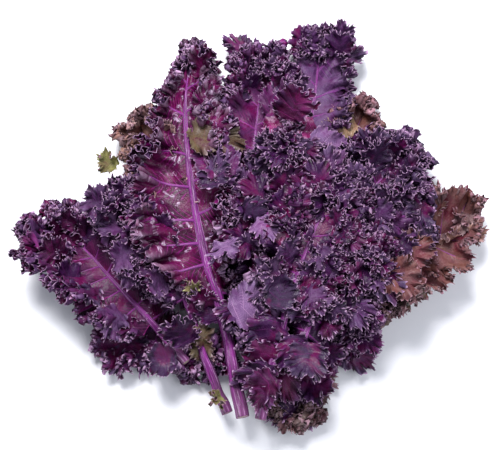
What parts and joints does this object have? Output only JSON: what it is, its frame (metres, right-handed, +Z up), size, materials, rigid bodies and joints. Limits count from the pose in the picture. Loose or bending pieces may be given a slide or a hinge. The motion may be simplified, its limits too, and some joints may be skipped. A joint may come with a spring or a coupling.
{
  "type": "purple kale bunch",
  "caption": "A loose bunch of picked purple curly kale lying flat, its frilled leaves fanned out and the cut ends of its magenta stalks together at one side.",
  "frame": {"origin": "under the middle of the bunch, on the surface it lies on", "axes": "+Z up out of the surface, +Y from the cut ends towards the far leaf tips, +X across the fan"},
  "size_m": [0.4159, 0.3791, 0.0627],
  "materials": {
    "purple_leaf": "waxy, half matt",
    "bronze_leaf": "waxy, half matt",
    "magenta_stalk": "smooth, satin"
  },
  "bodies": {
    "root": {"under_centre_blade": "purple_leaf", "under_centre_stalk": "magenta_stalk", "back_left_bronze_blade": "bronze_leaf", "back_left_bronze_stalk": "magenta_stalk", "back_right_bronze_blade": "bronze_leaf", "back_right_bronze_stalk": "magenta_stalk", "far_right_bronze_blade": "bronze_leaf", "far_right_bronze_stalk": "magenta_stalk", "left_low_blade": "purple_leaf", "left_low_stalk": "magenta_stalk", "lower_right_bronze_blade": "bronze_leaf", "lower_right_bronze_stalk": "magenta_stalk", "bottom_right_blade": "purple_leaf", "bottom_right_stalk": "magenta_stalk", "bottom_left_blade": "purple_leaf", "bottom_left_stalk": "magenta_stalk", "left_long_blade": "purple_leaf", "left_long_stalk": "magenta_stalk", "top_right_blade": "purple_leaf", "top_right_stalk": "magenta_stalk", "right_low_blade": "purple_leaf", "right_low_stalk": "magenta_stalk", "right_upper_blade": "purple_leaf", "right_upper_stalk": "magenta_stalk", "top_middle_blade": "purple_leaf", "top_middle_stalk": "magenta_stalk", "left_middle_blade": "purple_leaf", "left_middle_stalk": "magenta_stalk", "right_face_down_blade": "purple_leaf", "right_face_down_stalk": "magenta_stalk", "centre_upper_blade": "purple_leaf", "centre_upper_stalk": "magenta_stalk", "centre_low_blade": "purple_leaf", "centre_low_stalk": "magenta_stalk", "centre_right_blade": "purple_leaf", "centre_right_stalk": "magenta_stalk", "top_left_long_blade": "purple_leaf", "top_left_long_stalk": "magenta_stalk", "centre_small_blade": "purple_leaf", "centre_small_stalk": "magenta_stalk"}
  },
  "joints": []
}
